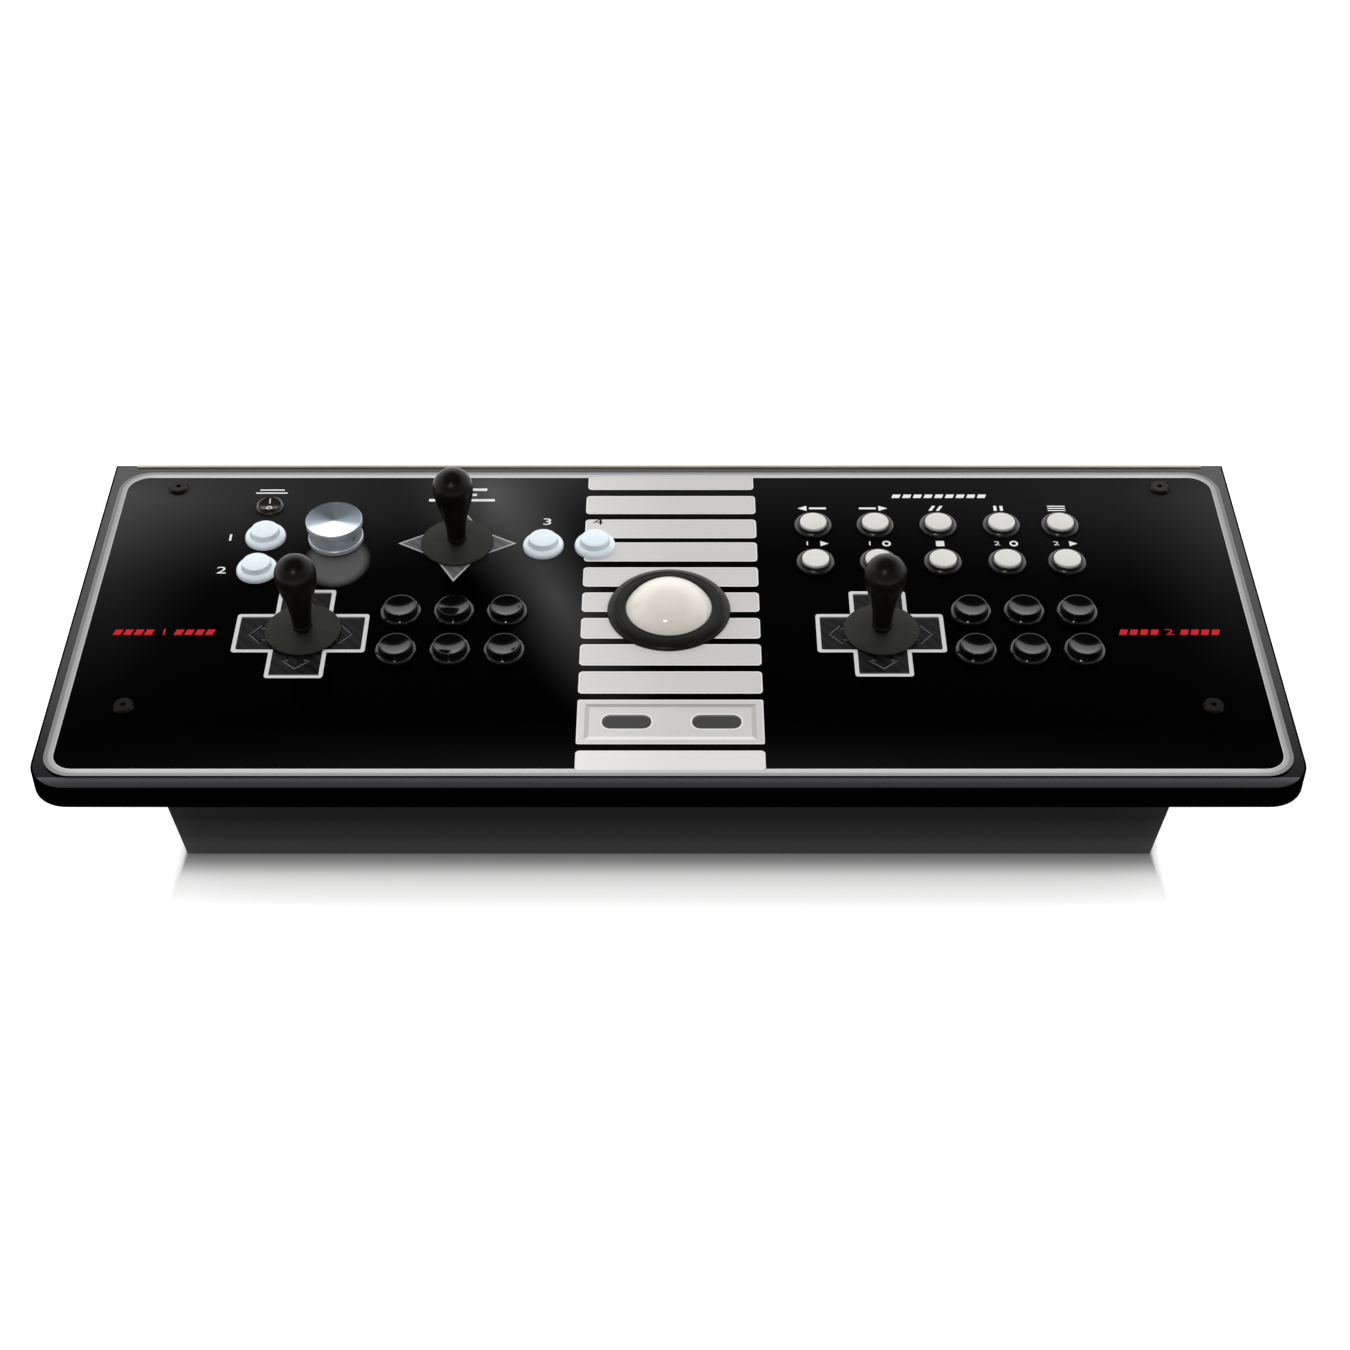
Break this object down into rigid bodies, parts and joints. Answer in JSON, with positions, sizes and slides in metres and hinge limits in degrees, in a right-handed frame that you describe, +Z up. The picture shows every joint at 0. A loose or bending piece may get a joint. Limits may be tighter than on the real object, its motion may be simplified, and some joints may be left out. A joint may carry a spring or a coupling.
{
  "type": "arcade joystick panel",
  "caption": "Arcade control panel: flat black deck on a shallow box, with bat-handle joysticks, push buttons, a trackball, a spinner knob and a round rocker switch.",
  "frame": {"origin": "on the floor, under the middle of the deck", "axes": "+X to the user's right, +Y to the back edge, +Z up"},
  "size_m": [0.927, 0.381, 0.1925],
  "materials": {
    "deck_laminate": "black melamine-faced board, satin",
    "overlay_plastic": "printed plastic sheet, satin gloss",
    "edge_plastic": "black edge moulding",
    "back_strip": "champagne anodised strip",
    "box_paint": "black painted board",
    "bottom_panel": "bare hardboard",
    "foot_rubber": "soft rubber",
    "dark_steel": "blackened steel",
    "inner_plastic": "moulded black plastic",
    "switch_plastic": "moulded switch bodies",
    "black_gloss": "glossy black plastic",
    "white_gloss": "glossy cool white plastic",
    "menu_white": "warm white plastic",
    "ball_ivory": "polished phenolic ball",
    "ring_plastic": "dark grey satin plastic",
    "bat_plastic": "satin black moulded handle",
    "washer_plastic": "dark grey nylon",
    "bright_steel": "turned steel",
    "turned_aluminium": "turned and spun finish",
    "rocker_plastic": "dark brown-black plastic",
    "circuit_green": "circuit board"
  },
  "bodies": {
    "panel": {"deck_board": "deck_laminate", "graphic_overlay": "overlay_plastic", "edge_molding": "edge_plastic", "base_box": "box_paint", "base_floor": "bottom_panel", "rubber_feet": "foot_rubber", "fasteners": "dark_steel", "panel_nuts": "inner_plastic", "black_bezels": "black_gloss", "white_bezels": "white_gloss", "microswitches": "switch_plastic", "joystick_bases": "inner_plastic", "trackball_housing": "inner_plastic", "trackball_ring": "ring_plastic", "spinner_bearing": "inner_plastic", "rocker_body": "rocker_plastic", "control_board": "circuit_green"},
    "action_plunger_1": {"action_plunger_1": "black_gloss"},
    "action_plunger_2": {"action_plunger_2": "black_gloss"},
    "action_plunger_3": {"action_plunger_3": "black_gloss"},
    "action_plunger_4": {"action_plunger_4": "black_gloss"},
    "action_plunger_5": {"action_plunger_5": "black_gloss"},
    "action_plunger_6": {"action_plunger_6": "black_gloss"},
    "action_plunger_7": {"action_plunger_7": "black_gloss"},
    "action_plunger_8": {"action_plunger_8": "black_gloss"},
    "action_plunger_9": {"action_plunger_9": "black_gloss"},
    "action_plunger_10": {"action_plunger_10": "black_gloss"},
    "action_plunger_11": {"action_plunger_11": "black_gloss"},
    "action_plunger_12": {"action_plunger_12": "black_gloss"},
    "white_plunger_1": {"white_plunger_1": "white_gloss"},
    "white_plunger_2": {"white_plunger_2": "white_gloss"},
    "white_plunger_3": {"white_plunger_3": "white_gloss"},
    "white_plunger_4": {"white_plunger_4": "white_gloss"},
    "menu_plunger_1": {"menu_plunger_1": "menu_white"},
    "menu_plunger_2": {"menu_plunger_2": "menu_white"},
    "menu_plunger_3": {"menu_plunger_3": "menu_white"},
    "menu_plunger_4": {"menu_plunger_4": "menu_white"},
    "menu_plunger_5": {"menu_plunger_5": "menu_white"},
    "menu_plunger_6": {"menu_plunger_6": "menu_white"},
    "menu_plunger_7": {"menu_plunger_7": "menu_white"},
    "menu_plunger_8": {"menu_plunger_8": "menu_white"},
    "menu_plunger_9": {"menu_plunger_9": "menu_white"},
    "menu_plunger_10": {"menu_plunger_10": "menu_white"},
    "pivot_ball_1": {"pivot_ball_1": "bright_steel"},
    "stick_1": {"stick_1": "bat_plastic"},
    "slip_washer_1": {"slip_washer_1": "washer_plastic"},
    "dust_washer_1": {"dust_washer_1": "washer_plastic"},
    "pivot_ball_2": {"pivot_ball_2": "bright_steel"},
    "stick_2": {"stick_2": "bat_plastic"},
    "slip_washer_2": {"slip_washer_2": "washer_plastic"},
    "dust_washer_2": {"dust_washer_2": "washer_plastic"},
    "pivot_ball_3": {"pivot_ball_3": "bright_steel"},
    "stick_3": {"stick_3": "bat_plastic"},
    "slip_washer_3": {"slip_washer_3": "washer_plastic"},
    "dust_washer_3": {"dust_washer_3": "washer_plastic"},
    "trackball": {"trackball": "ball_ivory"},
    "roller_x": {"roller_x": "bright_steel"},
    "roller_y": {"roller_y": "bright_steel"},
    "spinner_knob": {"spinner_knob": "turned_aluminium"},
    "rocker_paddle": {"rocker_paddle": "rocker_plastic"}
  },
  "joints": [
    {"name": "action_press_1", "type": "slide", "parent": "panel", "child": "action_plunger_1", "axis": [0, 0, -1], "range_m": [0, 0.003], "stiffness_N_per_m": 300, "springref_m": -0.003},
    {"name": "action_press_2", "type": "slide", "parent": "panel", "child": "action_plunger_2", "axis": [0, 0, -1], "range_m": [0, 0.003], "stiffness_N_per_m": 300, "springref_m": -0.003},
    {"name": "action_press_3", "type": "slide", "parent": "panel", "child": "action_plunger_3", "axis": [0, 0, -1], "range_m": [0, 0.003], "stiffness_N_per_m": 300, "springref_m": -0.003},
    {"name": "action_press_4", "type": "slide", "parent": "panel", "child": "action_plunger_4", "axis": [0, 0, -1], "range_m": [0, 0.003], "stiffness_N_per_m": 300, "springref_m": -0.003},
    {"name": "action_press_5", "type": "slide", "parent": "panel", "child": "action_plunger_5", "axis": [0, 0, -1], "range_m": [0, 0.003], "stiffness_N_per_m": 300, "springref_m": -0.003},
    {"name": "action_press_6", "type": "slide", "parent": "panel", "child": "action_plunger_6", "axis": [0, 0, -1], "range_m": [0, 0.003], "stiffness_N_per_m": 300, "springref_m": -0.003},
    {"name": "action_press_7", "type": "slide", "parent": "panel", "child": "action_plunger_7", "axis": [0, 0, -1], "range_m": [0, 0.003], "stiffness_N_per_m": 300, "springref_m": -0.003},
    {"name": "action_press_8", "type": "slide", "parent": "panel", "child": "action_plunger_8", "axis": [0, 0, -1], "range_m": [0, 0.003], "stiffness_N_per_m": 300, "springref_m": -0.003},
    {"name": "action_press_9", "type": "slide", "parent": "panel", "child": "action_plunger_9", "axis": [0, 0, -1], "range_m": [0, 0.003], "stiffness_N_per_m": 300, "springref_m": -0.003},
    {"name": "action_press_10", "type": "slide", "parent": "panel", "child": "action_plunger_10", "axis": [0, 0, -1], "range_m": [0, 0.003], "stiffness_N_per_m": 300, "springref_m": -0.003},
    {"name": "action_press_11", "type": "slide", "parent": "panel", "child": "action_plunger_11", "axis": [0, 0, -1], "range_m": [0, 0.003], "stiffness_N_per_m": 300, "springref_m": -0.003},
    {"name": "action_press_12", "type": "slide", "parent": "panel", "child": "action_plunger_12", "axis": [0, 0, -1], "range_m": [0, 0.003], "stiffness_N_per_m": 300, "springref_m": -0.003},
    {"name": "white_press_1", "type": "slide", "parent": "panel", "child": "white_plunger_1", "axis": [0, 0, -1], "range_m": [0, 0.002], "stiffness_N_per_m": 300, "springref_m": -0.003},
    {"name": "white_press_2", "type": "slide", "parent": "panel", "child": "white_plunger_2", "axis": [0, 0, -1], "range_m": [0, 0.002], "stiffness_N_per_m": 300, "springref_m": -0.003},
    {"name": "white_press_3", "type": "slide", "parent": "panel", "child": "white_plunger_3", "axis": [0, 0, -1], "range_m": [0, 0.002], "stiffness_N_per_m": 300, "springref_m": -0.003},
    {"name": "white_press_4", "type": "slide", "parent": "panel", "child": "white_plunger_4", "axis": [0, 0, -1], "range_m": [0, 0.002], "stiffness_N_per_m": 300, "springref_m": -0.003},
    {"name": "menu_press_1", "type": "slide", "parent": "panel", "child": "menu_plunger_1", "axis": [0, 0, -1], "range_m": [0, 0.0025], "stiffness_N_per_m": 300, "springref_m": -0.003},
    {"name": "menu_press_2", "type": "slide", "parent": "panel", "child": "menu_plunger_2", "axis": [0, 0, -1], "range_m": [0, 0.0025], "stiffness_N_per_m": 300, "springref_m": -0.003},
    {"name": "menu_press_3", "type": "slide", "parent": "panel", "child": "menu_plunger_3", "axis": [0, 0, -1], "range_m": [0, 0.0025], "stiffness_N_per_m": 300, "springref_m": -0.003},
    {"name": "menu_press_4", "type": "slide", "parent": "panel", "child": "menu_plunger_4", "axis": [0, 0, -1], "range_m": [0, 0.0025], "stiffness_N_per_m": 300, "springref_m": -0.003},
    {"name": "menu_press_5", "type": "slide", "parent": "panel", "child": "menu_plunger_5", "axis": [0, 0, -1], "range_m": [0, 0.0025], "stiffness_N_per_m": 300, "springref_m": -0.003},
    {"name": "menu_press_6", "type": "slide", "parent": "panel", "child": "menu_plunger_6", "axis": [0, 0, -1], "range_m": [0, 0.0025], "stiffness_N_per_m": 300, "springref_m": -0.003},
    {"name": "menu_press_7", "type": "slide", "parent": "panel", "child": "menu_plunger_7", "axis": [0, 0, -1], "range_m": [0, 0.0025], "stiffness_N_per_m": 300, "springref_m": -0.003},
    {"name": "menu_press_8", "type": "slide", "parent": "panel", "child": "menu_plunger_8", "axis": [0, 0, -1], "range_m": [0, 0.0025], "stiffness_N_per_m": 300, "springref_m": -0.003},
    {"name": "menu_press_9", "type": "slide", "parent": "panel", "child": "menu_plunger_9", "axis": [0, 0, -1], "range_m": [0, 0.0025], "stiffness_N_per_m": 300, "springref_m": -0.003},
    {"name": "menu_press_10", "type": "slide", "parent": "panel", "child": "menu_plunger_10", "axis": [0, 0, -1], "range_m": [0, 0.0025], "stiffness_N_per_m": 300, "springref_m": -0.003},
    {"name": "rock_1", "type": "hinge", "parent": "panel", "child": "pivot_ball_1", "pos_m": [-0.282, -0.0205, 0.092], "axis": [1, 0, 0], "range_deg": [-8, 8], "stiffness_Nm_per_rad": 1},
    {"name": "sway_1", "type": "hinge", "parent": "pivot_ball_1", "child": "stick_1", "pos_m": [-0.282, -0.0205, 0.092], "axis": [0, 1, 0], "range_deg": [-8, 8], "stiffness_Nm_per_rad": 1},
    {"name": "slip_slide_1", "type": "slide", "parent": "panel", "child": "slip_washer_1", "axis": [0, 1, 0], "range_m": [-0.004, 0.004]},
    {"name": "dust_slide_1", "type": "slide", "parent": "slip_washer_1", "child": "dust_washer_1", "axis": [1, 0, 0], "range_m": [-0.0041, 0.0041]},
    {"name": "rock_2", "type": "hinge", "parent": "panel", "child": "pivot_ball_2", "pos_m": [0.164, -0.0205, 0.092], "axis": [1, 0, 0], "range_deg": [-8, 8], "stiffness_Nm_per_rad": 1},
    {"name": "sway_2", "type": "hinge", "parent": "pivot_ball_2", "child": "stick_2", "pos_m": [0.164, -0.0205, 0.092], "axis": [0, 1, 0], "range_deg": [-8, 8], "stiffness_Nm_per_rad": 1},
    {"name": "slip_slide_2", "type": "slide", "parent": "panel", "child": "slip_washer_2", "axis": [0, 1, 0], "range_m": [-0.004, 0.004]},
    {"name": "dust_slide_2", "type": "slide", "parent": "slip_washer_2", "child": "dust_washer_2", "axis": [1, 0, 0], "range_m": [-0.0041, 0.0041]},
    {"name": "rock_3", "type": "hinge", "parent": "panel", "child": "pivot_ball_3", "pos_m": [-0.1705, 0.086, 0.092], "axis": [1, 0, 0], "range_deg": [-8, 8], "stiffness_Nm_per_rad": 1},
    {"name": "sway_3", "type": "hinge", "parent": "pivot_ball_3", "child": "stick_3", "pos_m": [-0.1705, 0.086, 0.092], "axis": [0, 1, 0], "range_deg": [-8, 8], "stiffness_Nm_per_rad": 1},
    {"name": "slip_slide_3", "type": "slide", "parent": "panel", "child": "slip_washer_3", "axis": [0, 1, 0], "range_m": [-0.004, 0.004]},
    {"name": "dust_slide_3", "type": "slide", "parent": "slip_washer_3", "child": "dust_washer_3", "axis": [1, 0, 0], "range_m": [-0.0041, 0.0041]},
    {"name": "ball_roll", "type": "hinge", "parent": "panel", "child": "trackball", "pos_m": [0, 0.004, 0.104], "axis": [1, 0, 0], "continuous": true},
    {"name": "roller_x_spin", "type": "hinge", "parent": "panel", "child": "roller_x", "pos_m": [0, -0.03307, 0.0826], "axis": [1, 0, 0], "continuous": true},
    {"name": "roller_y_spin", "type": "hinge", "parent": "panel", "child": "roller_y", "pos_m": [-0.03707, 0.004, 0.0826], "axis": [0, 1, 0], "continuous": true},
    {"name": "spinner_turn", "type": "hinge", "parent": "panel", "child": "spinner_knob", "pos_m": [-0.268, 0.089, 0.13], "axis": [0, 0, 1], "continuous": true},
    {"name": "rocker_tip", "type": "hinge", "parent": "panel", "child": "rocker_paddle", "pos_m": [-0.327, 0.132, 0.1209], "axis": [1, 0, 0], "range_deg": [-14, 0]}
  ],
  "couplings": [
    {"joint": "slip_slide_1", "follows": "rock_1", "m_per_rad": -0.0285},
    {"joint": "dust_slide_1", "follows": "sway_1", "m_per_rad": 0.029},
    {"joint": "slip_slide_2", "follows": "rock_2", "m_per_rad": -0.0285},
    {"joint": "dust_slide_2", "follows": "sway_2", "m_per_rad": 0.029},
    {"joint": "slip_slide_3", "follows": "rock_3", "m_per_rad": -0.0285},
    {"joint": "dust_slide_3", "follows": "sway_3", "m_per_rad": 0.029},
    {"joint": "roller_x_spin", "follows": "ball_roll", "ratio": -8.4667}
  ]
}
